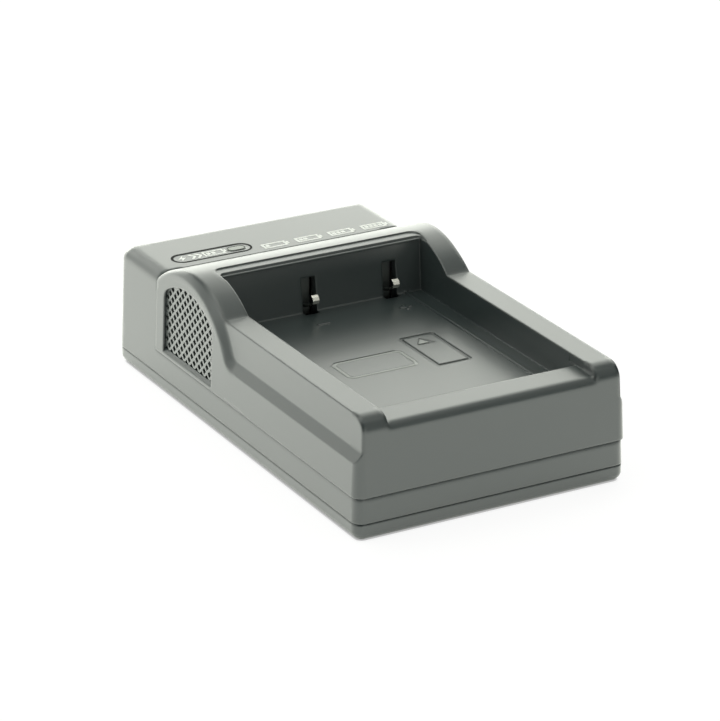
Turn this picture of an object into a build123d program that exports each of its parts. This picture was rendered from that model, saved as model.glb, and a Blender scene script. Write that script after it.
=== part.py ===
import math
import os

from build123d import *

os.makedirs("parts", exist_ok=True)

# Overall body: the low end faces -Y, the deck is at +Y, the underside lies at Z = 0
body_length = 98.0
body_width = 56.0
cover_top = 3.4
belt_top = 8.35
deck_top = 23.95
draft = 2.6
wall = 1.6
front_corner = 2.0
rear_corner = 2.95
deck_edge = 2.4
fit_gap = 0.1

# Seams: the cradle against the tall rear block, and against the belt that it stands proud of
seam_y = 31.05
seam_gap = 0.2
overhang = 0.35
belt_groove = 0.22

# Cradle profile seen from the side: rails, arched shoulder and front lip
rail_top = 23.15
rail_end = 3.0
rim_top = 21.45
rim_lip = 1.5
hump_y = 17.65
hump_z = 7.8
hump_r = 20.13

# Sloped band that sets the rails back from the lower side panels
band_z = 14.8
band_rise = 2.1
band_depth = 1.1
band_cove = 4.0
panel_y = 19.2
panel_z = 7.8
panel_r = 18.8

# Battery bay
bay_floor = 17.2
bay_half = 21.15
bay_draft = 2.4
bay_front = -41.5
bay_rear = 14.1
bay_rear_lean = 7.3
floor_skin = 1.6
ledges = [(18.35, 27.7, 22.0, 1.8), (16.1, 27.35, 21.8, 1.2)]
guide_x = 17.8
guide_width = 0.8
guide_height = 0.25
mark_depth = 0.16
mark_line = 0.6
arrow_frame = (8.33, -13.47, 7.45, 15.05)
arrow_corner = 0.4
arrow_points = [(8.3, -7.4), (10.2, -10.5), (6.2, -10.4)]
label_frame = (-5.3, -14.73, 14.8, 8.3)
label_corner = 1.0
sign_size = 2.6
sign_line = 0.7
minus_spot = (-3.95, 7.4)
plus_spot = (13.9, 7.4)

# Contacts standing behind the bay's rear wall
slot_xs = (-3.3, 14.3)
slot_width = 3.0
slot_top = 24.0
slot_front = 12.9
blade_y = 17.0
blade_top = 23.6
blade_width = 2.6
blade_thick = 0.4
nose_shift = 0.45
nose_width = 1.4

# Vent grilles in the shoulders
vent_y = 18.3
vent_z = 8.0
vent_r = 16.4
vent_front = 7.5
vent_rear = 27.85
vent_low = 9.1
vent_corner = 2.5
vent_depth = 0.6
vent_margin = 1.2
grille_thick = 1.0
mesh_grid = 1.5
mesh_rib = 0.55
mesh_y = 19.95
mesh_z = 15.05

# Charge light in the deck
light_x = -8.1
light_y = 35.6
light_length = 3.9
light_width = 2.2

# Bottom cover
cover_inset = 0.02
cover_edge = 1.1
cover_ease = 0.35
cover_groove = 0.3
lip_thick = 0.9
lip_rise = 1.2
inner_half = body_width / 2 - 1.7
inner_length = body_length / 2 - 1.7

# Fasteners
screw_spots = [(-20.5, -39.5), (20.5, 10.5)]
boss_width = 6.0
pad_width = 7.6
boss_foot = 4.0
shank_radius = 1.1
head_radius = 2.2
head_low = 0.3
head_seat = 2.0
screw_tip = 11.0
rib_ys = (-10.0, 12.0, 41.0)
rib_length = 24.0
rib_thick = 1.2

# Circuit board and the inlet on its rear edge
board_low = 4.0
board_thick = 1.6
board_half = 17.0
board_front = -14.0
board_gap = 3.0
board_rear = body_length / 2 - board_gap
board_top = board_low + board_thick
inlet_width = 7.6
inlet_height = 2.7
inlet_skin = 0.25
inlet_length = 5.7
inlet_set_in = 0.7
inlet_mouth = body_length / 2 - inlet_set_in
inlet_front = inlet_mouth - inlet_length

# Parts on the board
controller_spot = (4.0, 4.0)
controller_size = (4.9, 3.9)
controller_height = 1.45
lead_pitch = 1.27
lead_span = 5.0
lead_size = (0.42, 1.1)
lead_thick = 0.15
inductor_spot = (-7.0, 10.0)
inductor_width = 6.0
inductor_height = 3.0
output_spot = (-7.0, 23.5)
output_size = (4.3, 7.3)
output_height = 2.8
diode_spot = (4.0, 29.0)
diode_size = (4.3, 2.6)
diode_height = 2.2
capacitor_spots = [(7.0, 36.0), (10.5, 36.0), (-1.0, 12.0)]
capacitor_size = (1.6, 3.2)
capacitor_height = 1.6
resistor_spots = [(10.5, 2.0), (10.5, 5.5), (10.5, -1.5), (-3.0, 1.0), (-3.0, -2.5), (-4.0, 35.0)]
resistor_size = (1.6, 0.8)
resistor_height = 0.55
lamp_size = (2.0, 1.25)
lamp_height = 0.9

slope = math.tan(math.radians(draft))
belt_inset = slope * (belt_top - cover_top)
cradle_half = body_width / 2 - belt_inset + overhang
cradle_front = body_length / 2 - belt_inset + overhang
outside = 60.0


def front_at(z):
    return slope * (z - belt_top) - cradle_front


def on_circle(y, centre_y, centre_z, radius):
    return centre_z + math.sqrt(radius**2 - (y - centre_y) ** 2)


def on_panel(y, z):
    return (-y, z - belt_top)


def lower_outline(width, length, front_radius, rear_radius):
    with BuildSketch(mode=Mode.PRIVATE) as outline:
        Rectangle(width, length)
        fillet(outline.vertices().group_by(Axis.Y)[0], front_radius)
        fillet(outline.vertices().group_by(Axis.Y)[-1], rear_radius)
    return outline.sketch


def band_line(grow):
    foot = band_z + grow
    cove = band_cove - grow
    ring = panel_r + grow
    cove_z = foot + cove
    cove_y = panel_y - math.sqrt((ring + cove) ** 2 - (cove_z - panel_z) ** 2)
    share = ring / (ring + cove)
    meet_y = panel_y + (cove_y - panel_y) * share
    meet_z = panel_z + (cove_z - panel_z) * share
    turn = (math.atan2(meet_z - cove_z, meet_y - cove_y) - math.pi / 2) / 2
    middle = (cove_y + cove * math.cos(turn), cove_z + cove * math.sin(turn))
    end_y = seam_y + 5
    end_z = on_circle(end_y, panel_y, panel_z, ring)
    with BuildLine(mode=Mode.PRIVATE) as line:
        Line(on_panel(-outside, foot), on_panel(cove_y, foot))
        ThreePointArc(on_panel(cove_y, foot), on_panel(*middle), on_panel(meet_y, meet_z))
        ThreePointArc(
            on_panel(meet_y, meet_z), on_panel(panel_y, panel_z + ring), on_panel(end_y, end_z)
        )
        Polyline(
            on_panel(end_y, end_z),
            on_panel(end_y, outside),
            on_panel(-outside, outside),
            on_panel(-outside, foot),
        )
    return line.line


def vent_face(margin, low):
    front = vent_front - margin
    rear = vent_rear + margin
    ring = vent_r + margin
    front_z = on_circle(front, vent_y, vent_z, ring)
    rear_z = on_circle(rear, vent_y, vent_z, ring)
    with BuildSketch(mode=Mode.PRIVATE) as face:
        with BuildLine():
            Polyline(
                on_panel(rear, rear_z),
                on_panel(rear, low),
                on_panel(front, low),
                on_panel(front, front_z),
            )
            ThreePointArc(
                on_panel(front, front_z), on_panel(vent_y, vent_z + ring), on_panel(rear, rear_z)
            )
        make_face()
        front_top = face.vertices().group_by(Axis.X)[-1].sort_by(Axis.Y)[-1]
        rear_top = face.vertices().group_by(Axis.X)[0].sort_by(Axis.Y)[-1]
        fillet([front_top, rear_top], vent_corner + margin)
    return face.sketch


side_panel = Plane(
    origin=(-cradle_half, 0, belt_top),
    x_dir=(0, -1, 0),
    z_dir=(-math.cos(math.radians(draft)), 0, math.sin(math.radians(draft))),
)

# Bottom cover: shallow tray with a rounded underside, a locating lip and screw bosses
with BuildPart() as bottom_cover:
    cover_width = body_width - 2 * cover_inset
    cover_length = body_length - 2 * cover_inset
    with BuildSketch():
        add(lower_outline(cover_width, cover_length, front_corner, rear_corner))
    extrude(amount=cover_top)
    chamfer(bottom_cover.faces().sort_by(Axis.Z)[0].edges(), cover_edge)
    chamfer(bottom_cover.edges().filter_by_position(Axis.Z, -0.01, cover_edge + 0.01), cover_ease)
    chamfer(bottom_cover.faces().sort_by(Axis.Z)[-1].edges(), cover_groove)
    lip_half = inner_half - fit_gap
    lip_length = inner_length - fit_gap
    with BuildSketch(Plane.XY.offset(cover_top - 0.5)):
        Rectangle(2 * lip_half, 2 * lip_length)
    extrude(amount=lip_rise + 0.5)
    with BuildSketch(Plane.XY.offset(wall)):
        Rectangle(2 * (lip_half - lip_thick), 2 * (lip_length - lip_thick))
    extrude(amount=cover_top + lip_rise, mode=Mode.SUBTRACT)
    with BuildSketch(Plane.XY.offset(wall / 2)):
        with Locations(*screw_spots):
            Rectangle(pad_width, pad_width)
    extrude(amount=boss_foot - wall / 2)
    with BuildSketch(Plane.XY.offset(wall / 2)):
        for rib_y in rib_ys:
            with Locations((0, rib_y)):
                Rectangle(rib_length, rib_thick)
    extrude(amount=board_low - wall / 2)
    with BuildSketch():
        with Locations(*screw_spots):
            Circle(head_radius + 0.3)
    extrude(amount=head_seat, mode=Mode.SUBTRACT)
    with BuildSketch():
        with Locations(*screw_spots):
            Circle(shank_radius + 0.2)
    extrude(amount=boss_foot + 1, mode=Mode.SUBTRACT)

# Base housing: the belt all round and the tall rear block with the deck
with BuildPart() as base_housing:
    with BuildSketch(Plane.XY.offset(cover_top)):
        add(lower_outline(body_width, body_length, front_corner, rear_corner))
    extrude(amount=deck_top - cover_top, taper=draft)
    fillet(base_housing.faces().sort_by(Axis.Z)[-1].edges(), deck_edge)
    block_front = seam_y + seam_gap
    with BuildSketch(Plane.XY.offset(belt_top)):
        with Locations((0, block_front - outside)):
            Rectangle(2 * outside, 2 * outside)
    extrude(amount=outside, mode=Mode.SUBTRACT)
    belt_rim = base_housing.faces().filter_by_position(Axis.Z, belt_top - 0.01, belt_top + 0.01)[0]
    chamfer(belt_rim.edges().sort_by(Axis.Y)[:-1], belt_groove)
    with BuildSketch(Plane.XY.offset(cover_top)):
        Rectangle(2 * inner_half, 2 * inner_length)
    extrude(amount=belt_top - cover_top, mode=Mode.SUBTRACT)
    block_room = body_length / 2 - wall - 1.2 - (block_front + wall)
    with BuildSketch(Plane.XY.offset(belt_top)):
        with Locations((0, block_front + wall + block_room / 2)):
            Rectangle(body_width - 2 * wall - 2.4, block_room)
    extrude(amount=deck_top - wall - belt_top, mode=Mode.SUBTRACT)
    with BuildSketch(Plane.XY.offset(deck_top)):
        with Locations((light_x, light_y)):
            SlotOverall(light_length, light_width)
    extrude(amount=-2 * wall, mode=Mode.SUBTRACT)
    inlet_z = board_top + inlet_height / 2
    with BuildSketch(Plane.XZ.offset(-body_length / 2 - 1)):
        with Locations((0, inlet_z)):
            Rectangle(inlet_width + 0.6, inlet_height + 0.6)
    extrude(amount=4, mode=Mode.SUBTRACT)

# Cradle, outer shape: drafted block trimmed to the side profile, with the rails set back by the sloped band
with BuildPart() as side_band:
    for rise in (0.3, -band_depth):
        with BuildSketch(side_panel.offset(rise)):
            add(band_line(-rise * band_rise / band_depth))
            make_face()
    loft(ruled=True)

with BuildPart() as cradle_block:
    block_rear = seam_y + 15
    block_rise = 22.0
    with BuildSketch(Plane.XY.offset(belt_top)) as plan:
        with Locations((0, (block_rear - cradle_front) / 2)):
            Rectangle(2 * cradle_half, block_rear + cradle_front)
        fillet(plan.vertices().group_by(Axis.Y)[0], front_corner)
    extrude(amount=block_rise, taper=draft)
    end_z = rail_top - rail_end
    end_y = front_at(end_z)
    bend = rail_end * (1 - math.sqrt(0.5))
    hump_start = hump_y - math.sqrt(hump_r**2 - (rail_top - hump_z) ** 2)
    hump_end = on_circle(seam_y, hump_y, hump_z, hump_r)
    with BuildSketch(Plane.YZ):
        with BuildLine():
            Polyline(
                (seam_y, hump_end),
                (seam_y, belt_top),
                (-outside, belt_top),
                (-outside, end_z),
                (end_y, end_z),
            )
            ThreePointArc((end_y, end_z), (end_y + bend, rail_top - bend), (end_y + rail_end, rail_top))
            Line((end_y + rail_end, rail_top), (hump_start, rail_top))
            ThreePointArc((hump_start, rail_top), (hump_y, hump_z + hump_r), (seam_y, hump_end))
        make_face()
    extrude(amount=outside, both=True, mode=Mode.INTERSECT)
    add(side_band.part, mode=Mode.SUBTRACT)
    mirror(side_band.part, about=Plane.YZ, mode=Mode.SUBTRACT)

tub_half = bay_half + wall + 0.15
tub_rear = 16.6
tub_front = bay_front - wall
with BuildPart() as bay_tub:
    with BuildSketch(Plane.XY.offset(bay_floor - floor_skin)):
        with Locations((0, (tub_rear + tub_front) / 2)):
            Rectangle(2 * tub_half, tub_rear - tub_front)
    extrude(amount=outside)
    add(cradle_block.part, mode=Mode.INTERSECT)

with BuildPart() as bay_space:
    reach = 15.0
    lean = reach * math.tan(math.radians(bay_rear_lean))
    with BuildSketch(Plane.XY.offset(bay_floor)):
        Rectangle(2 * bay_half, 4 * outside)
    extrude(amount=reach, taper=-bay_draft)
    with BuildSketch(Plane.YZ):
        with BuildLine():
            Polyline(
                (bay_front, bay_floor),
                (bay_rear, bay_floor),
                (bay_rear + lean, bay_floor + reach),
                (bay_front - 0.4, bay_floor + reach),
                close=True,
            )
        make_face()
    extrude(amount=outside, both=True, mode=Mode.INTERSECT)

# Window through the shoulder, with the seat behind it for the grille
with BuildPart() as vent_cut:
    with BuildSketch(side_panel.offset(0.5)):
        add(vent_face(0, vent_low))
    extrude(amount=-2.5)
    with BuildSketch(side_panel.offset(-vent_depth)):
        add(vent_face(vent_margin + fit_gap, belt_top - 1))
    extrude(amount=-2.4)

# Cradle, moulded shell: hollow below the bay, under the shoulders, along the rails and behind the front lip
with BuildPart() as cradle:
    add(cradle_block.part)
    under_floor = bay_floor - floor_skin
    rear_inside = seam_y - wall
    front_inside = front_at(belt_top) + wall + 0.35
    with BuildSketch(Plane.XY.offset(belt_top)):
        with Locations((0, (rear_inside + front_inside) / 2)):
            Rectangle(2 * (inner_half - fit_gap), rear_inside - front_inside)
    extrude(amount=under_floor - belt_top, mode=Mode.SUBTRACT)
    roof_r = hump_r - 1.8
    shoulder_front = 6.0
    shoulder_half = 25.4
    with BuildSketch(Plane.YZ):
        with BuildLine():
            Polyline(
                (rear_inside, on_circle(rear_inside, hump_y, hump_z, roof_r)),
                (rear_inside, under_floor - 0.5),
                (shoulder_front, under_floor - 0.5),
                (shoulder_front, on_circle(shoulder_front, hump_y, hump_z, roof_r)),
            )
            ThreePointArc(
                (shoulder_front, on_circle(shoulder_front, hump_y, hump_z, roof_r)),
                (hump_y, hump_z + roof_r),
                (rear_inside, on_circle(rear_inside, hump_y, hump_z, roof_r)),
            )
        make_face()
    extrude(amount=shoulder_half, both=True, mode=Mode.SUBTRACT)
    rail_inside = 24.9
    channel_front = front_inside + 1.0
    with BuildSketch(Plane.XY.offset(under_floor - 0.5)):
        with Locations((0, (channel_front + shoulder_front + 0.5) / 2)):
            Rectangle(2 * rail_inside, shoulder_front + 0.5 - channel_front)
        with Locations((0, (tub_front + 8) / 2)):
            Rectangle(2 * tub_half, 8 - tub_front, mode=Mode.SUBTRACT)
    extrude(amount=rim_top - 1.9 - under_floor + 0.5, mode=Mode.SUBTRACT)
    add(bay_tub.part)
    add(bay_space.part, mode=Mode.SUBTRACT)
    lip_y = front_at(rim_top - rim_lip)
    lip_bend = rim_lip * (1 - math.sqrt(0.5))
    notch_half = bay_half + (rail_top - bay_floor) * math.tan(math.radians(bay_draft))
    with BuildSketch(Plane.YZ):
        with BuildLine():
            Polyline(
                (lip_y, rim_top - rim_lip),
                (-outside, rim_top - rim_lip),
                (-outside, outside),
                (bay_front + 2, outside),
                (bay_front + 2, rim_top),
                (lip_y + rim_lip, rim_top),
            )
            ThreePointArc(
                (lip_y + rim_lip, rim_top),
                (lip_y + lip_bend, rim_top - lip_bend),
                (lip_y, rim_top - rim_lip),
            )
        make_face()
    extrude(amount=notch_half, both=True, mode=Mode.SUBTRACT)
    for ledge_y, ledge_z, ledge_half, ledge_round in ledges:
        with BuildSketch(Plane.XY.offset(ledge_z)) as ledge:
            with Locations((0, ledge_y - 5)):
                Rectangle(2 * ledge_half, 10)
            fillet(ledge.vertices().group_by(Axis.Y)[-1], ledge_round)
        extrude(amount=5, mode=Mode.SUBTRACT)
    with BuildSketch(Plane.XY.offset(under_floor - 0.6)):
        for slot_x in slot_xs:
            with Locations((slot_x, (slot_front + tub_rear + 0.4) / 2)):
                Rectangle(slot_width, tub_rear + 0.4 - slot_front)
    extrude(amount=slot_top - under_floor + 0.6, mode=Mode.SUBTRACT)
    with BuildSketch(Plane.XY.offset(bay_floor)):
        for side in (-1, 1):
            with Locations((side * guide_x, (bay_front + bay_rear) / 2)):
                Rectangle(guide_width, bay_rear - bay_front + 0.4)
    extrude(amount=guide_height)
    with BuildSketch(Plane.XY.offset(bay_floor)) as frames:
        for (mark_x, mark_y, mark_width, mark_length), corner in (
            (arrow_frame, arrow_corner),
            (label_frame, label_corner),
        ):
            with BuildSketch(mode=Mode.PRIVATE) as ring:
                Rectangle(mark_width, mark_length)
                chamfer(ring.vertices(), corner)
                offset(amount=-mark_line, mode=Mode.SUBTRACT)
            with Locations((mark_x, mark_y)):
                add(ring.sketch)
        with BuildLine():
            Polyline(*arrow_points, close=True)
        make_face()
    extrude(amount=-mark_depth, mode=Mode.SUBTRACT)
    with BuildSketch(Plane.XY.offset(bay_floor)):
        with Locations(minus_spot, plus_spot):
            Rectangle(sign_size, sign_line)
        with Locations(plus_spot):
            Rectangle(sign_line, sign_size)
    extrude(amount=mark_depth)
    add(vent_cut.part, mode=Mode.SUBTRACT)
    mirror(vent_cut.part, about=Plane.YZ, mode=Mode.SUBTRACT)
    with BuildSketch(Plane.XY.offset(boss_foot)):
        with Locations(*screw_spots):
            Rectangle(boss_width, boss_width)
    extrude(amount=under_floor - boss_foot + 0.5)
    with BuildSketch(Plane.XY.offset(boss_foot)):
        with Locations(*screw_spots):
            Circle(shank_radius)
    extrude(amount=screw_tip + 0.5 - boss_foot, mode=Mode.SUBTRACT)
    skirt_half = inner_half - fit_gap
    skirt_front = -inner_length + fit_gap
    skirt_rear = vent_front - vent_margin - 1.0
    with BuildSketch(Plane.XY.offset(belt_top - lip_rise)):
        with Locations((0, (skirt_front + skirt_rear) / 2)):
            Rectangle(2 * skirt_half, skirt_rear - skirt_front)
        with Locations((0, (skirt_front + lip_thick + skirt_rear + 2) / 2)):
            Rectangle(
                2 * (skirt_half - lip_thick), skirt_rear + 2 - skirt_front - lip_thick, mode=Mode.SUBTRACT
            )
    extrude(amount=2 * lip_rise)

# Vent grille: flat plate of square mesh set at 45 degrees, seated behind the window
mesh_half = mesh_grid / math.sqrt(2)
mesh_spots = []
for row in range(-6, 10):
    for column in range(-7, 6):
        hole_y = mesh_y + (2 * column + row % 2) * mesh_half
        hole_z = mesh_z + row * mesh_half
        inside_arc = math.hypot(hole_y - vent_y, hole_z - vent_z) < vent_r
        if inside_arc and vent_front < hole_y < vent_rear and hole_z > vent_low:
            mesh_spots.append(on_panel(hole_y, hole_z))

with BuildPart() as vent_grille_left:
    with BuildSketch(side_panel.offset(-vent_depth)):
        add(vent_face(vent_margin, belt_top + 0.15))
        with Locations(*mesh_spots):
            Rectangle(mesh_grid - mesh_rib, mesh_grid - mesh_rib, rotation=45, mode=Mode.SUBTRACT)
    extrude(amount=-grille_thick)

with BuildPart() as vent_grille_right:
    mirror(vent_grille_left.part, about=Plane.YZ)

# Charge light: lens with a light pipe, and the lamp below it
with BuildPart() as light_pipe:
    with BuildSketch(Plane.XY.offset(deck_top - wall)):
        with Locations((light_x, light_y)):
            SlotOverall(light_length - 0.06, light_width - 0.06)
    extrude(amount=wall + 0.1)
    with BuildSketch(Plane.XY.offset(deck_top - wall)):
        with Locations((light_x, light_y)):
            Rectangle(light_length + 1.6, light_width + 1.6)
    extrude(amount=-0.8)
    with BuildSketch(Plane.XY.offset(deck_top - wall)):
        with Locations((light_x, light_y)):
            Rectangle(1.8, 1.8)
    extrude(amount=board_top + 1.0 - deck_top + wall)

with BuildPart() as charge_lamp:
    with BuildSketch(Plane.XY.offset(board_top)):
        with Locations((light_x, light_y)):
            Rectangle(*lamp_size)
    extrude(amount=lamp_height)

# Contacts: strips soldered to the board, each with a sprung nose bent forward through its slot
blade_path = [
    (20.6, board_top + blade_thick / 2),
    (blade_y, board_top + blade_thick / 2),
    (blade_y, blade_top),
]
nose_path = [
    (blade_y, 17.6),
    (15.0, 18.1),
    (13.5, 18.9),
    (12.75, 19.4),
    (12.55, 19.95),
    (12.8, 20.45),
    (13.3, 20.75),
]


def sprung_contact(slot_x):
    with BuildPart(mode=Mode.PRIVATE) as contact:
        for path, shift, width in ((blade_path, 0, blade_width), (nose_path, nose_shift, nose_width)):
            with BuildSketch(Plane.YZ.offset(slot_x + shift)):
                with BuildLine() as strip:
                    Polyline(*path)
                trace(strip.line, line_width=blade_thick)
            extrude(amount=width / 2, both=True)
    return contact.part


with BuildPart() as contact_negative:
    add(sprung_contact(slot_xs[0]))

with BuildPart() as contact_positive:
    add(sprung_contact(slot_xs[1]))

# Circuit board with the parts of a step-down charging circuit
with BuildPart() as circuit_board:
    with BuildSketch(Plane.XY.offset(board_low)):
        with Locations((0, (board_front + board_rear) / 2)):
            Rectangle(2 * board_half, board_rear - board_front)
    extrude(amount=board_thick)

with BuildPart() as charge_controller:
    with BuildSketch(Plane.XY.offset(board_top + lead_thick)):
        with Locations(controller_spot):
            Rectangle(*controller_size)
    extrude(amount=controller_height)
    chamfer(charge_controller.faces().sort_by(Axis.Z)[-1].edges(), 0.25)

with BuildPart() as controller_leads:
    with BuildSketch(Plane.XY.offset(board_top)):
        with Locations(controller_spot):
            with GridLocations(lead_pitch, lead_span, 4, 2):
                Rectangle(*lead_size)
    extrude(amount=lead_thick)

with BuildPart() as power_inductor:
    with BuildSketch(Plane.XY.offset(board_top)):
        with Locations(inductor_spot):
            Rectangle(inductor_width, inductor_width)
    extrude(amount=inductor_height)
    chamfer(power_inductor.edges().filter_by(Axis.Z), inductor_width / 6)

with BuildPart() as output_capacitor:
    with BuildSketch(Plane.XY.offset(board_top)):
        with Locations(output_spot):
            Rectangle(*output_size)
    extrude(amount=output_height)
    chamfer(output_capacitor.faces().sort_by(Axis.Z)[-1].edges(), 0.3)

with BuildPart() as chip_capacitors:
    with BuildSketch(Plane.XY.offset(board_top)):
        with Locations(*capacitor_spots):
            Rectangle(*capacitor_size)
    extrude(amount=capacitor_height)

with BuildPart() as chip_resistors:
    with BuildSketch(Plane.XY.offset(board_top)):
        with Locations(*resistor_spots):
            Rectangle(*resistor_size)
    extrude(amount=resistor_height)

with BuildPart() as input_diode:
    with BuildSketch(Plane.XY.offset(board_top)):
        with Locations(diode_spot):
            Rectangle(*diode_size)
    extrude(amount=diode_height)
    chamfer(input_diode.faces().sort_by(Axis.Z)[-1].edges(), 0.3)

# Inlet for the supply lead: folded shell, moulded tongue and its strips
with BuildPart() as inlet_shell:
    low_half = inlet_width / 2 - 0.9
    with BuildSketch(Plane.XZ.offset(-inlet_mouth)):
        Polygon(
            (-inlet_width / 2, board_top + inlet_height),
            (-inlet_width / 2, board_top + 0.9),
            (-low_half, board_top),
            (low_half, board_top),
            (inlet_width / 2, board_top + 0.9),
            (inlet_width / 2, board_top + inlet_height),
            align=None,
        )
    extrude(amount=inlet_mouth - inlet_front)
    inlet_faces = inlet_shell.faces().sort_by(Axis.Y)
    offset(amount=-inlet_skin, openings=[inlet_faces[-1], inlet_faces[0]])

with BuildPart() as inlet_tongue:
    with BuildSketch(Plane.XZ.offset(-inlet_front)):
        with Locations((0, board_top + 1.5)):
            Rectangle(inlet_width - 2.6, 1.5)
    extrude(amount=-1.2)
    with BuildSketch(Plane.XZ.offset(-inlet_front)):
        with Locations((0, board_top + 1.75)):
            Rectangle(4.0, 0.7)
    extrude(amount=-4.6)

with BuildPart() as inlet_strips:
    with BuildSketch(Plane.XZ.offset(-inlet_front - 1.2)):
        with Locations((0, board_top + 1.3)):
            with GridLocations(0.65, 1.0, 5, 1):
                Rectangle(0.35, 0.2)
    extrude(amount=-3.0)

# Cover screws: pan heads in the underside's recesses
with BuildPart() as cover_screws:
    with BuildSketch(Plane.XY.offset(head_low)):
        with Locations(*screw_spots):
            Circle(head_radius)
    extrude(amount=head_seat - head_low)
    with BuildSketch(Plane.XY.offset(head_seat)):
        with Locations(*screw_spots):
            RegularPolygon(shank_radius, 12)
    extrude(amount=screw_tip - head_seat)

finished = {
    "bottom_cover": bottom_cover,
    "base_housing": base_housing,
    "cradle": cradle,
    "vent_grille_left": vent_grille_left,
    "vent_grille_right": vent_grille_right,
    "light_pipe": light_pipe,
    "charge_lamp": charge_lamp,
    "contact_negative": contact_negative,
    "contact_positive": contact_positive,
    "circuit_board": circuit_board,
    "charge_controller": charge_controller,
    "controller_leads": controller_leads,
    "power_inductor": power_inductor,
    "output_capacitor": output_capacitor,
    "chip_capacitors": chip_capacitors,
    "chip_resistors": chip_resistors,
    "input_diode": input_diode,
    "inlet_shell": inlet_shell,
    "inlet_tongue": inlet_tongue,
    "inlet_strips": inlet_strips,
    "cover_screws": cover_screws,
}
for name, piece in finished.items():
    piece.part.label = name
    export_step(piece.part, f"parts/{name}.step")
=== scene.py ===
import math

import bmesh
import bpy
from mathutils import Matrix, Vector


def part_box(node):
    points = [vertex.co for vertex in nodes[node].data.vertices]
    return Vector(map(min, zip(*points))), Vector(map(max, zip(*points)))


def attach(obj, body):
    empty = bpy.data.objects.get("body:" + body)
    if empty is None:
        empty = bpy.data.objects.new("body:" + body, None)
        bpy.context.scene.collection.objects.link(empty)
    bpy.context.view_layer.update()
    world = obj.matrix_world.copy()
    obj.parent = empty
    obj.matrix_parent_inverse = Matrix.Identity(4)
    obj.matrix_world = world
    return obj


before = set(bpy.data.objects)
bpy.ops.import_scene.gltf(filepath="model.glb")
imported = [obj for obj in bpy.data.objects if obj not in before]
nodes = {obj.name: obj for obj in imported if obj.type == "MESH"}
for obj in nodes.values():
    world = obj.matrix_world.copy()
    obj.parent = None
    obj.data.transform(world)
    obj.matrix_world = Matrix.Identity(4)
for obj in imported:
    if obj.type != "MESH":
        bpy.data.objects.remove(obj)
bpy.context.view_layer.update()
mm = 0.001
print("frame loaded:", len(nodes), "nodes")


def hexColour(code):  # sRGB hex to linear
    parts = [int(code[i:i + 2], 16) / 255 for i in (1, 3, 5)]
    return tuple(c / 12.92 if c <= 0.04045 else ((c + 0.055) / 1.055) ** 2.4 for c in parts) + (1.0,)


def addNode(tree, kind, settings=None, inputs=None, links=None):  # a link of None keeps the socket's value
    node = tree.nodes.new(kind)
    for key, value in (settings or {}).items():
        setattr(node, key, value)
    for key, value in (inputs or {}).items():
        node.inputs[key].default_value = value
    for key, source in (links or {}).items():
        if source is not None:
            tree.links.new(source, node.inputs[key])
    return node


def newMaterial(name):
    mat = bpy.data.materials.new(name)
    mat.use_nodes = True
    mat.node_tree.nodes.clear()
    return mat, mat.node_tree


def dress(mat, *names):
    for name in names:
        slots = nodes[name].data.materials
        slots.clear()
        slots.append(mat)


# housing: ABS with a little glass bead, moulded in a finely spark-etched tool
# the eye sees a dark grey, a little blue-green, under a broad satin sheen, and no edge that is quite sharp
housingLook = {"dark": "#2e3738", "pale": "#333c3d", "flowSize": 16, "rough": 0.36, "roughSpread": 0.03,
               "skin": 1.0, "skinRough": 0.3, "edge": 0.5,
               "etch": 0.12, "etchSize": 0.25, "etchDepth": 0.012}  # etch drawn coarse enough to show
thinLook = dict(housingLook, edge=0.12)  # beads and bars too thin for the housing's edge
# painted light: the grille is a paler copy of the housing colour, so that its rib edges and holes read as lit
litGrilleLook = dict(thinLook, dark="#535a58", pale="#5a615f")
highlightLook = dict(thinLook, dark="#787d7a", pale="#818683")  # painted highlight: a paler copy of the housing colour for the light on the frame and pip in the bay floor

# rounder edges: in each region the radius grows to wideEdge between the two ends of every limit, in mm
# across is off the middle, leaning is along less a share of up, fromArch is off the arch's centre
measureLook = {"archCentre": (19.2, 7.8), "lean": 0.6}
beltLook = dict(housingLook, wideEdge=1.5, rounder=[
    [("up", 5.4, 6.4), ("up", 8.8, 8.6)],  # upper rim of the belt
    [("up", 19.5, 20.0), ("across", 21.5, 22.0)],  # sides of the deck
])
cradleLook = dict(housingLook, wideEdge=1.3, rounder=[
    [("fromArch", 17.0, 17.5), ("leaning", -11.6, -9.6), ("across", 21.9, 22.4)],  # outer edge of the arches
    [("along", -44.0, -44.5), ("up", 16.5, 17.0)],  # upper edge of the front
])


def rounderRadius(tree, where, look):
    if "rounder" not in look:
        return None
    place = addNode(tree, "ShaderNodeSeparateXYZ", {}, {}, {"Vector": where})
    across = addNode(tree, "ShaderNodeMath", {"operation": "ABSOLUTE"}, {}, {0: place.outputs["X"]})
    leaning = addNode(tree, "ShaderNodeVectorMath", {"operation": "DOT_PRODUCT"},
                      {1: (0, 1, -measureLook["lean"])}, {0: where})
    sideways = addNode(tree, "ShaderNodeVectorMath", {"operation": "MULTIPLY"}, {1: (0, 1, 1)}, {0: where})
    fromArch = addNode(tree, "ShaderNodeVectorMath", {"operation": "DISTANCE"},
                       {1: Vector((0, *measureLook["archCentre"])) * mm}, {0: sideways.outputs["Vector"]})
    measures = {"across": across.outputs[0], "along": place.outputs["Y"], "up": place.outputs["Z"],
                "leaning": leaning.outputs["Value"], "fromArch": fromArch.outputs["Value"]}
    radius = None
    for limits in look["rounder"]:
        share = None
        for measure, start, full in limits:
            share = addNode(tree, "ShaderNodeMapRange", {}, {"From Min": start * mm, "From Max": full * mm},
                            {"Value": measures[measure], "To Max": share}).outputs["Result"]
        radius = addNode(tree, "ShaderNodeMapRange", {},
                         {"To Min": look["edge"] * mm, "To Max": look["wideEdge"] * mm},
                         {"Value": share, "To Min": radius}).outputs["Result"]
    return radius


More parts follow.
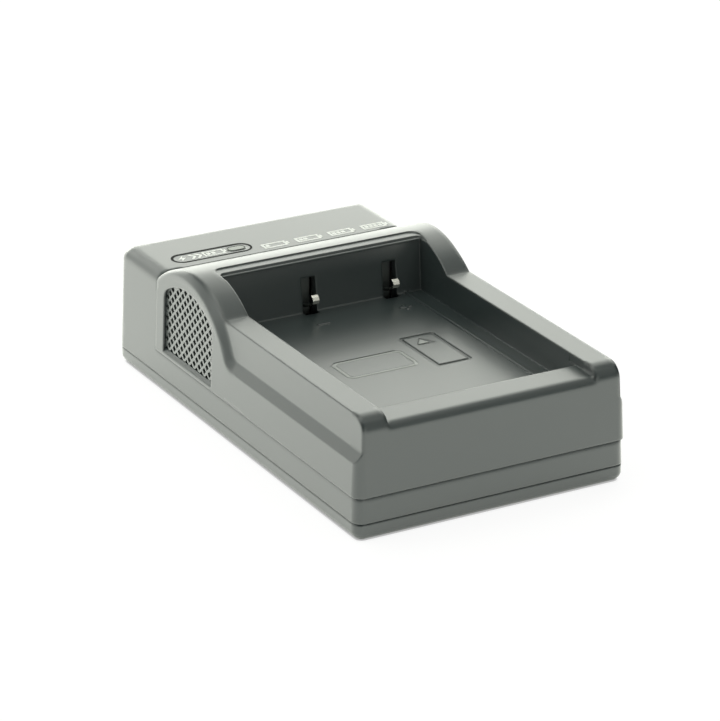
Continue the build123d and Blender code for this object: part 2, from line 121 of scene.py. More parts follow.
def mouldedAbs(name, look):
    mat, tree = newMaterial(name)
    where = addNode(tree, "ShaderNodeTexCoord").outputs["Object"]
    etch = addNode(tree, "ShaderNodeTexNoise", {}, {"Scale": 1 / (look["etchSize"] * mm), "Detail": 2.0},
                   {"Vector": where})
    flow = addNode(tree, "ShaderNodeTexNoise", {}, {"Scale": 1 / (look["flowSize"] * mm), "Detail": 3.0},
                   {"Vector": where})
    tint = addNode(tree, "ShaderNodeMix", {"data_type": "RGBA"},
                   {"A": hexColour(look["dark"]), "B": hexColour(look["pale"])},
                   {"Factor": flow.outputs["Fac"]})
    spread = look["roughSpread"]
    rough = addNode(tree, "ShaderNodeMapRange", {},
                    {"To Min": look["rough"] - spread, "To Max": look["rough"] + spread},
                    {"Value": flow.outputs["Fac"]})
    edge = addNode(tree, "ShaderNodeBevel", {"samples": 8}, {"Radius": look["edge"] * mm},
                   {"Radius": rounderRadius(tree, where, look)})
    bump = addNode(tree, "ShaderNodeBump", {}, {"Strength": look["etch"], "Distance": look["etchDepth"] * mm},
                   {"Height": etch.outputs["Fac"], "Normal": edge.outputs["Normal"]})
    shader = addNode(tree, "ShaderNodeBsdfPrincipled", {},
                     {"IOR": 1.53, "Coat Weight": look["skin"], "Coat Roughness": look["skinRough"],
                      "Coat IOR": 1.5},
                     {"Base Color": tint.outputs["Result"], "Roughness": rough.outputs["Result"],
                      "Normal": bump.outputs["Normal"], "Coat Normal": bump.outputs["Normal"]})
    addNode(tree, "ShaderNodeOutputMaterial", {}, {}, {"Surface": shader.outputs["BSDF"]})
    return mat


dress(mouldedAbs("abs satin moulded", housingLook), "bottom_cover")
dress(mouldedAbs("abs satin moulded belt", beltLook), "base_housing")
dress(mouldedAbs("abs satin moulded cradle", cradleLook), "cradle")
dress(mouldedAbs("abs satin moulded mesh", litGrilleLook), "vent_grille_left", "vent_grille_right")
beadAbs = mouldedAbs("abs satin moulded bead", thinLook)
# painted highlight: a pale copy of the housing plastic for the frame and pip in the bay floor
highlightAbs = mouldedAbs("abs painted highlight pale", highlightLook)

grainRough = 0.1  # what the rolled grain adds to a metal's roughness


# plated and drawn metal: bright, with a fine rolled grain that blurs the reflection a little
def rolledMetal(name, look):
    mat, tree = newMaterial(name)
    where = addNode(tree, "ShaderNodeTexCoord").outputs["Object"]
    grain = addNode(tree, "ShaderNodeTexNoise", {}, {"Scale": 1 / (look["grain"] * mm), "Detail": 2.0},
                    {"Vector": where})
    rough = addNode(tree, "ShaderNodeMapRange", {},
                    {"To Min": look["rough"], "To Max": look["rough"] + grainRough},
                    {"Value": grain.outputs["Fac"]})
    edge = addNode(tree, "ShaderNodeBevel", {"samples": 8}, {"Radius": look["edge"] * mm})
    shader = addNode(tree, "ShaderNodeBsdfPrincipled", {},
                     {"Base Color": hexColour(look["colour"]), "Metallic": 1.0},
                     {"Roughness": rough.outputs["Result"], "Normal": edge.outputs["Normal"]})
    addNode(tree, "ShaderNodeOutputMaterial", {}, {}, {"Surface": shader.outputs["BSDF"]})
    return mat


nickelLook = {"colour": "#e6e3d8", "rough": 0.16, "grain": 0.08, "edge": 0.15}
tinLook = {"colour": "#b9babb", "rough": 0.28, "grain": 0.1, "edge": 0.08}
zincLook = {"colour": "#a9aaa8", "rough": 0.34, "grain": 0.12, "edge": 0.1}
dress(rolledMetal("bronze strip nickel plated", nickelLook), "inlet_strips")
dress(rolledMetal("steel strip tinned", tinLook), "inlet_shell", "controller_leads")
zincSteel = rolledMetal("steel zinc plated", zincLook)
dress(zincSteel, "cover_screws")


# contacts: spring bronze, spot plated where the battery touches it; behind the plating it is painted dark and
# dull, as shade inside the slot the eye sees a bright bead in front of a slot that stays dark
def plateAndSlotShade(name, look):
    mat, tree = newMaterial(name)
    where = addNode(tree, "ShaderNodeTexCoord").outputs["Object"]
    place = addNode(tree, "ShaderNodeSeparateXYZ", {}, {}, {"Vector": where})
    slotShadeFrom = look["plateEnd"] + look["plateFade"]
    slotShade = addNode(tree, "ShaderNodeMapRange", {},
                   {"From Min": look["plateEnd"] * mm, "From Max": slotShadeFrom * mm},
                   {"Value": place.outputs["Y"]})
    grain = addNode(tree, "ShaderNodeTexNoise", {}, {"Scale": 1 / (look["grain"] * mm), "Detail": 2.0},
                    {"Vector": where})
    tint = addNode(tree, "ShaderNodeMix", {"data_type": "RGBA"},
                   {"A": hexColour(look["plate"]), "B": hexColour(look["bronze"])},
                   {"Factor": slotShade.outputs["Result"]})
    dull = addNode(tree, "ShaderNodeMapRange", {}, {"To Min": look["rough"], "To Max": look["roughInShade"]},
                   {"Value": slotShade.outputs["Result"]})
    rough = addNode(tree, "ShaderNodeMath", {"operation": "MULTIPLY_ADD"}, {1: grainRough},
                    {0: grain.outputs["Fac"], 2: dull.outputs["Result"]})
    edge = addNode(tree, "ShaderNodeBevel", {"samples": 8}, {"Radius": look["edge"] * mm})
    shader = addNode(tree, "ShaderNodeBsdfPrincipled", {}, {"Metallic": 1.0},
                     {"Base Color": tint.outputs["Result"], "Roughness": rough.outputs[0],
                      "Normal": edge.outputs["Normal"]})
    addNode(tree, "ShaderNodeOutputMaterial", {}, {}, {"Surface": shader.outputs["BSDF"]})
    return mat


# bronze is painted shade: the colour behind plateEnd, where the strip runs into the slot
contactLook = {"plate": "#f1efe7", "bronze": "#6d7271", "plateEnd": 14.0, "plateFade": 0.3, "rough": 0.16,
               "roughInShade": 0.5, "grain": 0.08, "edge": 0.15}
dress(plateAndSlotShade("spring bronze plated, painted slot shade", contactLook), "contact_negative", "contact_positive")


# small mouldings and fired parts: one colour broken by a fine speckle, matt or glossy as the part is
def speckled(name, dark, pale, rough, ior, speck):
    mat, tree = newMaterial(name)
    where = addNode(tree, "ShaderNodeTexCoord").outputs["Object"]
    grain = addNode(tree, "ShaderNodeTexNoise", {}, {"Scale": 1 / (speck * mm), "Detail": 3.0},
                    {"Vector": where})
    tint = addNode(tree, "ShaderNodeMix", {"data_type": "RGBA"}, {"A": hexColour(dark), "B": hexColour(pale)},
                   {"Factor": grain.outputs["Fac"]})
    bump = addNode(tree, "ShaderNodeBump", {}, {"Strength": 0.15, "Distance": 0.02 * mm},
                   {"Height": grain.outputs["Fac"]})
    shader = addNode(tree, "ShaderNodeBsdfPrincipled", {}, {"Roughness": rough, "IOR": ior},
                     {"Base Color": tint.outputs["Result"], "Normal": bump.outputs["Normal"]})
    addNode(tree, "ShaderNodeOutputMaterial", {}, {}, {"Surface": shader.outputs["BSDF"]})
    return mat


# dark and pale colour, roughness, IOR, speck size in mm
smallLooks = {
    "acrylic smoke frosted": ("#959b95", "#a1a6a0", 0.3, 1.49, 0.4),
    "epoxy diffused cast": ("#d8d2b8", "#e6e1cc", 0.35, 1.54, 0.3),
    "epoxy black transfer moulded": ("#1b1c1e", "#26272a", 0.55, 1.55, 0.15),
    "ferrite pressed": ("#262626", "#343332", 0.7, 1.8, 0.3),
    "ceramic fired tan": ("#8a7355", "#9c8563", 0.5, 1.6, 0.2),
    "nylon black moulded": ("#161718", "#202122", 0.5, 1.53, 0.2),
}
smallParts = {
    "acrylic smoke frosted": ["light_pipe"],
    "epoxy diffused cast": ["charge_lamp"],
    "epoxy black transfer moulded": ["charge_controller", "output_capacitor", "input_diode",
                                     "chip_resistors"],
    "ferrite pressed": ["power_inductor"],
    "ceramic fired tan": ["chip_capacitors"],
    "nylon black moulded": ["inlet_tongue"],
}
for name, look in smallLooks.items():
    dress(speckled(name, *look), *smallParts[name])


# circuit board: glass-epoxy laminate under green solder mask, with paler lines where copper runs below it
def maskedLaminate(name, look):
    mat, tree = newMaterial(name)
    where = addNode(tree, "ShaderNodeTexCoord").outputs["Object"]
    run = addNode(tree, "ShaderNodeTexWave", {"bands_direction": "X", "wave_profile": "SIN"},
                  {"Scale": look["waveStep"] / (look["pitch"] * mm), "Distortion": 3.0, "Detail": 1.0,
                   "Detail Scale": 0.5}, {"Vector": where})
    low, high = look["trackEdge"]
    track = addNode(tree, "ShaderNodeMapRange", {}, {"From Min": low, "From Max": high},
                    {"Value": run.outputs["Fac"]})
    tint = addNode(tree, "ShaderNodeMix", {"data_type": "RGBA"},
                   {"A": hexColour(look["mask"]), "B": hexColour(look["copper"])},
                   {"Factor": track.outputs["Result"]})
    bump = addNode(tree, "ShaderNodeBump", {}, {"Strength": 0.4, "Distance": look["copperThick"] * mm},
                   {"Height": track.outputs["Result"]})
    shader = addNode(tree, "ShaderNodeBsdfPrincipled", {}, {"Roughness": 0.3, "IOR": 1.55},
                     {"Base Color": tint.outputs["Result"], "Normal": bump.outputs["Normal"]})
    addNode(tree, "ShaderNodeOutputMaterial", {}, {}, {"Surface": shader.outputs["BSDF"]})
    return mat


boardLook = {"mask": "#1d4a33", "copper": "#2f6a45", "pitch": 2.5, "trackEdge": (0.62, 0.7),
             "copperThick": 0.035, "waveStep": 0.314}  # a wave texture repeats every 0.314 over its scale
dress(maskedLaminate("glass epoxy solder masked", boardLook), "circuit_board")
print("materials done")


# pieces that the solids leave out: print and painted shade on the deck, screw drives, sills and fine beads
def closedPiece(name, bm, mat, slot):  # finish a bmesh as a piece of the charger
    bmesh.ops.recalc_face_normals(bm, faces=bm.faces)
    mesh = bpy.data.meshes.new(name)
    bm.to_mesh(mesh)
    bm.free()
    return meshPiece(name, mesh, mat, slot)


def meshPiece(name, mesh, mat, slot):  # a shape without a slot is only there to be repeated
    if not mesh.materials:
        mesh.materials.append(mat)
    piece = bpy.data.objects.new(name, mesh)
    bpy.context.scene.collection.objects.link(piece)
    if slot:
        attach(piece, "root")
    return piece


def extrudeLoops(bm, loops, low, high):  # flat shape from an outline and its holes, given a thickness
    edges = []
    for loop in loops:
        verts = [bm.verts.new((x * mm, y * mm, low * mm)) for x, y in loop]
        edges += [bm.edges.new((a, b)) for a, b in zip(verts, verts[1:] + verts[:1])]
    flat = [f for f in bmesh.ops.triangle_fill(bm, use_beauty=True, edges=edges)["geom"]
            if isinstance(f, bmesh.types.BMFace)]
    risen = bmesh.ops.extrude_face_region(bm, geom=flat)["geom"]
    bmesh.ops.translate(bm, vec=(0, 0, (high - low) * mm),
                        verts=[v for v in risen if isinstance(v, bmesh.types.BMVert)])


def joinRings(bm, near, far):  # a wall between two matching rings of corners
    for i in range(len(near)):
        j = (i + 1) % len(near)
        bm.faces.new((near[i], near[j], far[j], far[i]))


def capBar(bm, near, far):  # a bar between two matching ends
    bm.faces.new(near)
    bm.faces.new(far)
    joinRings(bm, near, far)


def stadium(centre, length, width, steps=16):
    (cx, cy), r = centre, width / 2
    half = length / 2 - r
    arc = [math.pi * i / steps for i in range(steps + 1)]
    right = [(cx + half + r * math.sin(t), cy - r * math.cos(t)) for t in arc]
    left = [(cx - half - r * math.sin(t), cy + r * math.cos(t)) for t in arc]
    return right + left


def rectangle(cx, cy, length, width):
    x, y = length / 2, width / 2
    return [(cx - x, cy - y), (cx + x, cy - y), (cx + x, cy + y), (cx - x, cy + y)]


inkLook = {"liftSize": 0.5, "rough": (0.4, 0.6), "thick": 0.03}


def printAndShadeInk(name, colour, gloss):  # pad-printed ink, thin, flat and a little uneven where the pad lifted, for the white print; the same flat layer in matt black is painted shade round the charge light
    mat, tree = newMaterial(name)
    where = addNode(tree, "ShaderNodeTexCoord").outputs["Object"]
    lift = addNode(tree, "ShaderNodeTexNoise", {}, {"Scale": 1 / (inkLook["liftSize"] * mm), "Detail": 3.0},
                   {"Vector": where})
    smooth, dull = inkLook["rough"]
    rough = addNode(tree, "ShaderNodeMapRange", {}, {"To Min": smooth, "To Max": dull},
                    {"Value": lift.outputs["Fac"]})
    shader = addNode(tree, "ShaderNodeBsdfPrincipled", {},
                     {"Base Color": hexColour(colour), "Specular IOR Level": gloss},
                     {"Roughness": rough.outputs["Result"]})
    addNode(tree, "ShaderNodeOutputMaterial", {}, {}, {"Surface": shader.outputs["BSDF"]})
    return mat


# painted shade: matt black standing for the shadow in the groove round the charge light and in the gap round
# the lens
grooveShadeInk = printAndShadeInk("black matt painted groove shade", "#101211", 0.05)
whiteInk = printAndShadeInk("ink white pad printed", "#f6f8f5", 0.4)
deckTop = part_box("base_housing")[1][2] / mm
inkTop = deckTop + inkLook["thick"]
lensLow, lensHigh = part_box("light_pipe")
lensX, lensY = [(lensLow[i] + lensHigh[i]) / 2 / mm for i in (0, 1)]
lensTop = lensHigh[2] / mm

# painted shade: a black oval for the shadow in the groove round the charge light, heavier along its rear
# side, and a fine black line for the shadow in the gap round the lens
pillLook = {"offset": (-5.28, 0.1), "size": (17.2, 4.72), "innerOffset": (-5.28, -0.02),
            "innerSize": (16.24, 3.56), "lens": (3.6, 1.95), "lensLine": 0.12}
pillCentre = (lensX + pillLook["offset"][0], lensY + pillLook["offset"][1])
innerCentre = (lensX + pillLook["innerOffset"][0], lensY + pillLook["innerOffset"][1])
lensSize = pillLook["lens"]
lensInner = [side - 2 * pillLook["lensLine"] for side in lensSize]
bm = bmesh.new()
extrudeLoops(bm, [stadium(pillCentre, *pillLook["size"]), stadium(innerCentre, *pillLook["innerSize"])],
             deckTop, inkTop)
extrudeLoops(bm, [stadium((lensX, lensY), *lensSize), stadium((lensX, lensY), *lensInner)],
             lensTop, lensTop + inkLook["thick"])
closedPiece("pill_outline", bm, grooveShadeInk, "housing_plastic")

# charging sign in the oval: a bolt, two chevrons and a cell that they fill
signLook = {"case": (4.4, 2.4), "nub": (0.4, 1.0), "nubGap": 0.05, "line": 0.36, "caseAt": 0.4,
            "boltAt": -6.4,
            "bolt": [(0.5, 1.2), (-0.95, -0.2), (-0.1, -0.2), (-0.5, -1.2), (0.95, 0.2), (0.1, 0.2)],
            "chevronsAt": (-4.9, -3.6),
            "chevron": [(0, 1.2), (0.6, 1.2), (1.5, 0), (0.6, -1.2), (0, -1.2), (0.9, 0)],
            "bars": (-1.15, -0.1), "bar": (0.75, 1.2)}
signX, signY = innerCentre


def cellCase(bm, cx, cy, look, low):  # outline of a cell with its nub
    length, width = look["case"]
    line, high = 2 * look["line"], low + inkLook["thick"]
    extrudeLoops(bm, [rectangle(cx, cy, length, width), rectangle(cx, cy, length - line, width - line)],
                 low, high)
    nubX = cx + length / 2 + look["nub"][0] / 2 + look["nubGap"]
    extrudeLoops(bm, [rectangle(nubX, cy, *look["nub"])], low, high)


bm = bmesh.new()
caseX = signX + signLook["caseAt"]
cellCase(bm, caseX, signY, signLook, deckTop)
for barX in signLook["bars"]:
    extrudeLoops(bm, [rectangle(caseX + barX, signY, *signLook["bar"])], deckTop, inkTop)
boltX = signX + signLook["boltAt"]
extrudeLoops(bm, [[(boltX + x, signY + y) for x, y in signLook["bolt"]]], deckTop, inkTop)
for chevronX in signLook["chevronsAt"]:
    extrudeLoops(bm, [[(signX + chevronX + x, signY + y) for x, y in signLook["chevron"]]], deckTop, inkTop)
closedPiece("charging_sign", bm, whiteInk, "housing_plastic")

# level signs along the deck: cells with one bar more each time
levelLook = {"start": (-0.6, 33.75), "count": 4, "pitch": 7.35, "case": (5.2, 2.4), "nub": (0.45, 1.2),
             "nubGap": 0.05, "line": 0.5, "bar": (0.8, 1.0), "barPitch": 1.0}
bm = bmesh.new()
cellCase(bm, 0, 0, levelLook, 0)
caseShape = closedPiece("caseShape", bm, whiteInk, None)
bm = bmesh.new()
firstBar = -(levelLook["count"] - 1) * levelLook["barPitch"] / 2
extrudeLoops(bm, [rectangle(firstBar, 0, *levelLook["bar"])], 0, inkLook["thick"])
barShape = closedPiece("barShape", bm, whiteInk, None)


def newTree(name, sockets):
    tree = bpy.data.node_groups.new(name, "GeometryNodeTree")
    for label, kind in sockets.items():
        tree.interface.new_socket(label, in_out="INPUT", socket_type=kind)
    tree.interface.new_socket("Geometry", in_out="OUTPUT", socket_type="NodeSocketGeometry")
    return tree, tree.nodes.new("NodeGroupInput").outputs


def endTree(tree, instances, mat):  # plain mesh in one material
    whole = addNode(tree, "GeometryNodeRealizeInstances", {}, {}, {"Geometry": instances})
    dressed = addNode(tree, "GeometryNodeSetMaterial", {}, {},
                      {"Geometry": whole.outputs["Geometry"], "Material": mat})
    addNode(tree, "NodeGroupOutput", {}, {}, {"Geometry": dressed.outputs["Geometry"]})


def grow(name, tree, values, mat, slot):  # run a tree on an empty mesh and keep the plain result
    host = bpy.data.objects.new(name + "Host", bpy.data.meshes.new(name + "Host"))
    bpy.context.scene.collection.objects.link(host)
    modifier = host.modifiers.new("grow", "NODES")
    modifier.node_group = tree
    for item in tree.interface.items_tree:
        if item.in_out == "INPUT":
            modifier[item.identifier] = values[item.name]
    mesh = bpy.data.meshes.new_from_object(host.evaluated_get(bpy.context.evaluated_depsgraph_get()))
    bpy.data.objects.remove(host)
    return meshPiece(name, mesh, mat, slot)


tree, given = newTree("levelSigns", {"Case": "NodeSocketObject", "Bar": "NodeSocketObject",
                                     "Count": "NodeSocketInt", "Start": "NodeSocketVector",
                                     "Pitch": "NodeSocketVector", "Bar Pitch": "NodeSocketVector",
                                     "Ink": "NodeSocketMaterial"})
row = addNode(tree, "GeometryNodeMeshLine", {"mode": "OFFSET"}, {},
              {"Count": given["Count"], "Start Location": given["Start"], "Offset": given["Pitch"]})
spots = addNode(tree, "GeometryNodeMeshToPoints", {}, {}, {"Mesh": row.outputs["Mesh"]})
case = addNode(tree, "GeometryNodeObjectInfo", {}, {}, {"Object": given["Case"]})
cases = addNode(tree, "GeometryNodeInstanceOnPoints", {}, {},
                {"Points": spots.outputs["Points"], "Instance": case.outputs["Geometry"]})
place = addNode(tree, "GeometryNodeInputIndex")
level = addNode(tree, "ShaderNodeMath", {"operation": "ADD"}, {1: 1.0}, {0: place.outputs["Index"]})
copies = addNode(tree, "GeometryNodeDuplicateElements", {"domain": "POINT"}, {},
                 {"Geometry": spots.outputs["Points"], "Amount": level.outputs[0]})
shift = addNode(tree, "ShaderNodeVectorMath", {"operation": "SCALE"}, {},
                {0: given["Bar Pitch"], "Scale": copies.outputs["Duplicate Index"]})
moved = addNode(tree, "GeometryNodeSetPosition", {}, {},
                {"Geometry": copies.outputs["Geometry"], "Offset": shift.outputs["Vector"]})
bar = addNode(tree, "GeometryNodeObjectInfo", {}, {}, {"Object": given["Bar"]})
bars = addNode(tree, "GeometryNodeInstanceOnPoints", {}, {},
               {"Points": moved.outputs["Geometry"], "Instance": bar.outputs["Geometry"]})
signs = addNode(tree, "GeometryNodeJoinGeometry", {}, {}, {"Geometry": cases.outputs["Instances"]})
tree.links.new(bars.outputs["Instances"], signs.inputs["Geometry"])
endTree(tree, signs.outputs["Geometry"], given["Ink"])
levelX, levelY = levelLook["start"]
grow("level_signs", tree,
     {"Case": caseShape, "Bar": barShape, "Count": levelLook["count"],
      "Start": (levelX * mm, levelY * mm, deckTop * mm), "Pitch": (levelLook["pitch"] * mm, 0, 0),
      "Bar Pitch": (levelLook["barPitch"] * mm, 0, 0), "Ink": whiteInk}, whiteInk, "housing_plastic")
bpy.data.objects.remove(caseShape)
bpy.data.objects.remove(barShape)

# cross drives in the heads of the two cover screws
driveLook = {"count": 2, "head": 2.2, "radius": 2.1, "face": 0.06, "arm": 0.55, "reach": 1.25, "steps": 24}
screwLow, screwHigh = [[c / mm for c in corner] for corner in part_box("cover_screws")]
headFace = screwLow[2]
head = driveLook["head"]
a, r = driveLook["arm"] / 2, driveLook["reach"]
cross = [(a, r), (a, a), (r, a), (r, -a), (a, -a), (a, -r),
         (-a, -r), (-a, -a), (-r, -a), (-r, a), (-a, a), (-a, r)]
turns = [2 * math.pi * i / driveLook["steps"] for i in range(driveLook["steps"])]
ring = [(driveLook["radius"] * math.cos(t), driveLook["radius"] * math.sin(t)) for t in turns]
bm = bmesh.new()
extrudeLoops(bm, [ring, cross], driveLook["face"], headFace)
driveShape = closedPiece("driveShape", bm, zincSteel, None)
tree, given = newTree("screwDrives", {"Drive": "NodeSocketObject", "First": "NodeSocketVector",
                                      "Last": "NodeSocketVector", "Count": "NodeSocketInt",
                                      "Steel": "NodeSocketMaterial"})
row = addNode(tree, "GeometryNodeMeshLine", {"mode": "END_POINTS"}, {},
              {"Count": given["Count"], "Start Location": given["First"], "Offset": given["Last"]})
drive = addNode(tree, "GeometryNodeObjectInfo", {}, {}, {"Object": given["Drive"]})
drives = addNode(tree, "GeometryNodeInstanceOnPoints", {}, {},
                 {"Points": row.outputs["Mesh"], "Instance": drive.outputs["Geometry"]})
endTree(tree, drives.outputs["Instances"], given["Steel"])
grow("screw_drives", tree,
     {"Drive": driveShape, "Count": driveLook["count"], "Steel": zincSteel,
      "First": ((screwLow[0] + head) * mm, (screwLow[1] + head) * mm, 0),
      "Last": ((screwHigh[0] - head) * mm, (screwHigh[1] - head) * mm, 0)}, zincSteel, "screw_steel")
bpy.data.objects.remove(driveShape)

# sills: the bevelled lower edge of each vent window
sillLook = {"low": 9.1, "rise": 0.62, "depth": 0.58, "inset": 0.02, "front": 7.52, "rear": 27.83,
            "draft": 2.6, "beltTop": 8.35}
draft = math.tan(math.radians(sillLook["draft"]))
sillLow, sillTop = sillLook["low"], sillLook["low"] + sillLook["rise"]
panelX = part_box("cradle")[1][0] / mm - (sillLow - sillLook["beltTop"]) * draft
innerX = panelX - sillLook["depth"]
corners = [(panelX - sillLook["inset"], sillLow), (innerX, sillLow),
           (innerX - sillLook["rise"] * draft, sillTop)]
bm = bmesh.new()
for side in (-1, 1):
    capBar(bm, *[[bm.verts.new((side * x * mm, y * mm, z * mm)) for x, z in corners]
                 for y in (sillLook["front"], sillLook["rear"])])
closedPiece("vent_sills", bm, beadAbs, "cradle_plastic")

# lip: a rounded bead along the rear edge of the bay, under the step
lipLook = {"front": 15.1, "rear": 15.6, "low": 27.05, "side": 27.3, "top": 27.46, "half": 21.2, "steps": 6}
lipY, lipHalf = (lipLook["front"] + lipLook["rear"]) / 2, (lipLook["rear"] - lipLook["front"]) / 2
lipRise = lipLook["top"] - lipLook["side"]
crown = [math.pi * i / lipLook["steps"] for i in range(lipLook["steps"] + 1)]
profile = [(lipY - lipHalf * math.cos(t), lipLook["side"] + lipRise * math.sin(t)) for t in crown]
profile = [(lipLook["front"], lipLook["low"])] + profile + [(lipLook["rear"], lipLook["low"])]
bm = bmesh.new()
capBar(bm, *[[bm.verts.new((x * mm, y * mm, z * mm)) for y, z in profile]
             for x in (-lipLook["half"], lipLook["half"])])
closedPiece("bay_lip", bm, beadAbs, "cradle_plastic")

# rounded frame in the bay floor: a low bead all round, painted pale as a highlight
frameLook = {"centre": (-5.3, -14.9), "size": (14.2, 7.35), "corner": 1.1, "width": 0.8, "crest": 0.3,
             "low": 17.05, "floor": 17.2, "rise": 0.08, "steps": 6}


def roundedLoop(centre, length, width, corner, steps):
    loop = []
    for turn, (sx, sy) in enumerate(((1, 1), (-1, 1), (-1, -1), (1, -1))):
        cx = centre[0] + sx * (length / 2 - corner)
        cy = centre[1] + sy * (width / 2 - corner)
        for i in range(steps + 1):
            t = math.pi / 2 * (turn + i / steps)
            loop.append((cx + corner * math.cos(t), cy + corner * math.sin(t)))
    return loop


bm = bmesh.new()
half, crest = frameLook["width"] / 2, frameLook["crest"] / 2
low, floorZ, topZ = frameLook["low"], frameLook["floor"], frameLook["floor"] + frameLook["rise"]
profile = [(half, low), (half, floorZ), (crest, topZ), (-crest, topZ), (-half, floorZ), (-half, low)]
rings = []
for out, z in profile:
    length, width = [side + 2 * out for side in frameLook["size"]]
    loop = roundedLoop(frameLook["centre"], length, width, frameLook["corner"] + out, frameLook["steps"])
    rings.append([bm.verts.new((x * mm, y * mm, z * mm)) for x, y in loop])
for inner, outer in zip(rings, rings[1:] + rings[:1]):
    joinRings(bm, inner, outer)
closedPiece("label_frame", bm, highlightAbs, "cradle_plastic")

# arrow in the bay floor: a pip that fills its outline, painted pale as a highlight too
arrowLook = {"points": [(8.0, -8.15), (8.9, -10.2), (6.65, -10.15)], "low": 17.0, "top": 17.24}
bm = bmesh.new()
extrudeLoops(bm, [arrowLook["points"]], arrowLook["low"], arrowLook["top"])
closedPiece("arrow_pip", bm, highlightAbs, "cradle_plastic")
print("print, screw drives, sills and beads made")

# stage: white paper under and all round, just clear of the cover
# lift is how bright the paper glows, touch is that glow where the charger stands on it and its reach in mm;
# this drop near the charger is a painted contact shadow, taken from occlusion, on the seen paper and in its
# reflections
floorLook = {"size": 6.0, "drop": 0.02, "paper": "#f4f4f4", "seen": "#707070", "cast": "#fcfff6",
             "seenLift": 0.895, "seenContactShadow": (0.4, 0.5), "mirrorLift": 1.0, "mirrorContactShadow": (0.35, 3.0),
             "closed": 0.35, "open": 0.9}
bpy.ops.mesh.primitive_plane_add(size=floorLook["size"], location=(0, 0, -floorLook["drop"] * mm))
floor = bpy.context.object
floor.name = "floor"
mat, tree = newMaterial("paper white coated")  # flat white, and as white in a reflection
path = addNode(tree, "ShaderNodeLightPath")
paper = addNode(tree, "ShaderNodeBsdfDiffuse", {}, {"Color": hexColour(floorLook["paper"])})
shade = addNode(tree, "ShaderNodeBsdfDiffuse", {}, {"Color": hexColour(floorLook["seen"])})
sheets = []
for full, (touch, reach), colour, base in (
        (floorLook["seenLift"], floorLook["seenContactShadow"], "#ffffff", shade),
        (floorLook["mirrorLift"], floorLook["mirrorContactShadow"], floorLook["cast"], paper)):
    # painted contact shadow: occlusion near the charger dims the glow
    near = addNode(tree, "ShaderNodeAmbientOcclusion", {"samples": 8}, {"Distance": reach * mm})
    lift = addNode(tree, "ShaderNodeMapRange", {},
                   {"From Min": floorLook["closed"], "From Max": floorLook["open"],
                    "To Min": touch, "To Max": full}, {"Value": near.outputs["AO"]})
    glow = addNode(tree, "ShaderNodeEmission", {}, {"Color": hexColour(colour)},
                   {"Strength": lift.outputs["Result"]})
    sheets.append(addNode(tree, "ShaderNodeAddShader", {}, {},
                          {0: base.outputs["BSDF"], 1: glow.outputs["Emission"]}))
seen, mirrored = sheets
bounce = addNode(tree, "ShaderNodeMath", {"operation": "MAXIMUM"}, {},
                 {0: path.outputs["Is Glossy Ray"], 1: path.outputs["Is Transmission Ray"]})
indirect = addNode(tree, "ShaderNodeMixShader", {}, {},
                   {"Fac": bounce.outputs[0], 1: paper.outputs["BSDF"], 2: mirrored.outputs["Shader"]})
sheet = addNode(tree, "ShaderNodeMixShader", {}, {},
                {"Fac": path.outputs["Is Camera Ray"], 1: indirect.outputs["Shader"],
                 2: seen.outputs["Shader"]})
addNode(tree, "ShaderNodeOutputMaterial", {}, {}, {"Surface": sheet.outputs["Shader"]})
floor.data.materials.append(mat)

# softboxes a metre off: bearing from the rear (clockwise), height angle, width, height, brightness
softboxes = {
    "rear": (0, 14, 0.52, 0.46, 5.1),
    "rearRight": (45, 14, 1.04, 0.46, 2.3),
    "rearLeft": (-30, 14, 0.52, 0.46, 1.3),
    "highRight": (45, 42, 0.80, 0.50, 1.5),
    "overhead": (0, 90, 1.05, 1.05, 0.9),
    "topLeft": (-45, 70, 0.52, 0.45, 2.6),
    "frontRight": (140, 42, 0.90, 0.80, 0.45),
    "left": (-90, 42, 0.40, 0.50, 1.6),
    "leftLow": (-75, 14, 1.04, 0.46, 0.5),
    "front": (180, 14, 0.52, 0.46, 2.1),
}
paperLamp = {"at": (-0.25, 0.10, 0.15), "aim": (-0.06, 0.09, 0), "wide": 0.12, "tall": 0.12,
             "bright": 2.2}  # close, on the paper at the left
worldStrength = 0.06


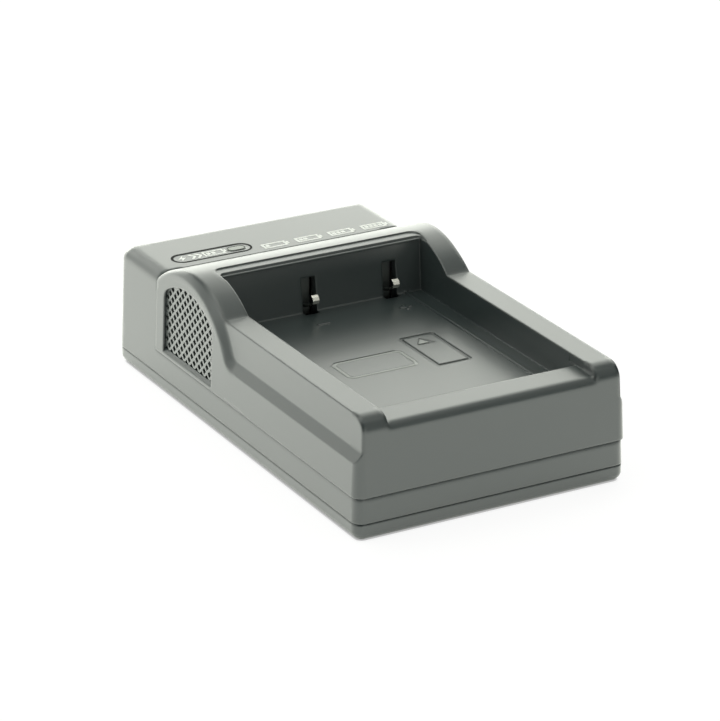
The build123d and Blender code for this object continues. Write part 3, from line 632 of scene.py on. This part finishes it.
def hangLamp(name, at, aim, wide, tall, bright):
    lamp = bpy.data.lights.new(name, "AREA")
    lamp.shape = "RECTANGLE"
    lamp.size, lamp.size_y = wide, tall
    lamp.color = hexColour(floorLook["cast"])[:3]
    lamp.energy = bright * math.pi * wide * tall
    box = bpy.data.objects.new(name, lamp)
    bpy.context.scene.collection.objects.link(box)
    box.location = at
    box.rotation_euler = (Vector(aim) - Vector(at)).to_track_quat("-Z", "Y").to_euler()


for name, (bearing, height, wide, tall, bright) in softboxes.items():
    turn, lift = math.radians(bearing), math.radians(height)
    at = (math.sin(turn) * math.cos(lift), math.cos(turn) * math.cos(lift), math.sin(lift))
    hangLamp(name, at, (0, 0, 0), wide, tall, bright)
hangLamp("paperLeft", **paperLamp)
world = bpy.data.worlds.new("studio")
bpy.context.scene.world = world
world.use_nodes = True
world.node_tree.nodes.clear()
dim = addNode(world.node_tree, "ShaderNodeBackground", {}, {"Strength": worldStrength})
addNode(world.node_tree, "ShaderNodeOutputWorld", {}, {}, {"Surface": dim.outputs["Background"]})
print("stage done")

# camera, as the photograph was taken: angles in degrees, distance and lens in mm, shift in pixels
cameraLook = {"azimuth": -28.989, "elevation": 23.382, "distance": 671.8, "sensor": 36.0, "lens": 176.43,
              "shift": (-1.02, 56.21), "frame": 720, "near": 0.01}
azimuth, elevation = math.radians(cameraLook["azimuth"]), math.radians(cameraLook["elevation"])
distance = cameraLook["distance"] * mm
camData = bpy.data.cameras.new("camera")
cam = bpy.data.objects.new("camera", camData)
bpy.context.scene.collection.objects.link(cam)
cam.location = (math.sin(azimuth) * math.cos(elevation) * distance,
                -math.cos(azimuth) * math.cos(elevation) * distance,
                math.sin(elevation) * distance)
cam.rotation_euler = (math.pi / 2 - elevation, 0, azimuth)
camData.sensor_fit = "HORIZONTAL"
camData.sensor_width = cameraLook["sensor"]
camData.lens = cameraLook["lens"]
camData.shift_x, camData.shift_y = [pixels / cameraLook["frame"] for pixels in cameraLook["shift"]]
camData.clip_start = cameraLook["near"]
bpy.context.scene.camera = cam
bpy.context.scene.view_settings.view_transform = "Standard"
print("camera set")
